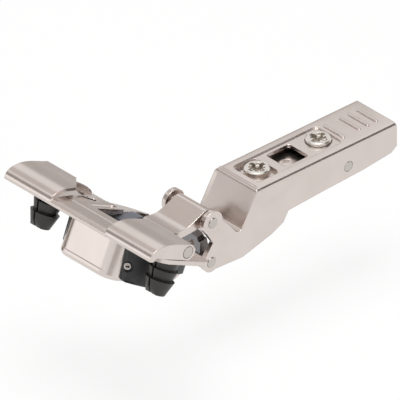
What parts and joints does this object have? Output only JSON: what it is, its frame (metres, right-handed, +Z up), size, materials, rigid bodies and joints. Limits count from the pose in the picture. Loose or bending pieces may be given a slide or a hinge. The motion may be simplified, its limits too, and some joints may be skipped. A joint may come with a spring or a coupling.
{
  "type": "concealed cabinet hinge",
  "caption": "Concealed cup hinge for a corner unit, shown open, with a cranked slide-on arm, crossed links, damped cup and expanding dowels.",
  "frame": {"origin": "centre of the cup hole on the face of the door, with the hinge fully open", "axes": "+X along the arm towards its rear, +Y across the hinge to the left dowel, +Z up from the arm's top face"},
  "size_m": [0.107, 0.0568, 0.032],
  "materials": {
    "satin_nickel_steel": "satin nickel plated",
    "bright_pin_steel": "bright rolled",
    "screw_steel": "bright nickel plated",
    "spring_steel": "drawn wire",
    "dark_link_steel": "phosphated and oiled",
    "dark_plastic": "fine moulded matt",
    "black_housing_plastic": "fine moulded matt",
    "blue_grey_plastic": "moulded satin"
  },
  "bodies": {
    "carrier": {"base_carrier": "satin_nickel_steel", "front_hook_pin": "bright_pin_steel", "clip_lever_pin": "bright_pin_steel", "clip_lever_spring": "spring_steel"},
    "arm": {"arm_channel": "satin_nickel_steel", "upper_arm_pin": "bright_pin_steel", "lower_arm_pin": "bright_pin_steel", "carrier_guide_pin": "bright_pin_steel", "side_screw_nut": "satin_nickel_steel"},
    "side_screw": {"side_screw": "screw_steel"},
    "depth_screw": {"depth_screw": "screw_steel"},
    "clip_lever": {"clip_lever": "satin_nickel_steel"},
    "outer_link": {"outer_link": "satin_nickel_steel"},
    "inner_link": {"inner_link": "dark_link_steel"},
    "cup": {"cup_shell": "satin_nickel_steel", "outer_cup_pins": "bright_pin_steel", "inner_cup_pins": "bright_pin_steel", "closing_spring_left": "spring_steel", "closing_spring_right": "spring_steel", "fixing_lever": "satin_nickel_steel", "lever_pin_left": "bright_pin_steel", "lever_pin_right": "bright_pin_steel", "dowel_left": "dark_plastic", "dowel_right": "dark_plastic", "dowel_wedge_left": "bright_pin_steel", "dowel_wedge_right": "bright_pin_steel", "damper_housing_left": "black_housing_plastic", "damper_housing_right": "black_housing_plastic", "housing_rivet": "bright_pin_steel", "damper_cylinder_left": "spring_steel", "damper_cylinder_right": "spring_steel"},
    "damper_rod_left": {"damper_rod_left": "bright_pin_steel"},
    "damper_rod_right": {"damper_rod_right": "bright_pin_steel"},
    "damper_slider": {"damper_slider": "blue_grey_plastic"}
  },
  "joints": [
    {"name": "arm_depth_slide", "type": "slide", "parent": "carrier", "child": "arm", "axis": [1, 0, 0], "range_m": [-0.00173, 0.00173]},
    {"name": "depth_screw_turn", "type": "hinge", "parent": "arm", "child": "depth_screw", "pos_m": [0.066, 0, -0.001], "axis": [0, 0, 1], "range_deg": [-60, 60]},
    {"name": "side_screw_turn", "type": "hinge", "parent": "arm", "child": "side_screw", "pos_m": [0.044, 0, -0.001], "axis": [0, 0, 1], "continuous": true},
    {"name": "clip_lever_turn", "type": "hinge", "parent": "carrier", "child": "clip_lever", "pos_m": [0.0775, 0, -0.0079], "axis": [0, -1, 0], "range_deg": [0, 15], "stiffness_Nm_per_rad": 0.05, "springref_deg": -17.19},
    {"name": "outer_link_swing", "type": "hinge", "parent": "arm", "child": "outer_link", "pos_m": [0.0208, 0, -0.0045], "axis": [0, -1, 0], "range_deg": [0, 29]},
    {"name": "inner_link_swing", "type": "hinge", "parent": "arm", "child": "inner_link", "pos_m": [0.0203, 0, -0.0165], "axis": [0, -1, 0], "range_deg": [0, 54]},
    {"name": "cup_swing", "type": "hinge", "parent": "outer_link", "child": "cup", "pos_m": [0.00375, 0, -0.00947], "axis": [0, 1, 0], "range_deg": [0, 137.13]},
    {"name": "damper_slider_slide", "type": "slide", "parent": "cup", "child": "damper_slider", "axis": [-0.9063, 0, 0.4226], "range_m": [0, 0.0018], "stiffness_N_per_m": 40, "springref_m": -0.001},
    {"name": "damper_rod_left_slide", "type": "slide", "parent": "cup", "child": "damper_rod_left", "axis": [-0.9063, 0, 0.4226], "range_m": [0, 0.003], "stiffness_N_per_m": 40, "springref_m": -0.001},
    {"name": "damper_rod_right_slide", "type": "slide", "parent": "cup", "child": "damper_rod_right", "axis": [-0.9063, 0, 0.4226], "range_m": [0, 0.003], "stiffness_N_per_m": 40, "springref_m": -0.001}
  ],
  "couplings": [
    {"joint": "depth_screw_turn", "follows": "arm_depth_slide", "rad_per_m": 604.59},
    {"joint": "outer_link_swing", "follows": "cup_swing", "ratio": 0.19786},
    {"joint": "inner_link_swing", "follows": "cup_swing", "ratio": 0.37072}
  ]
}
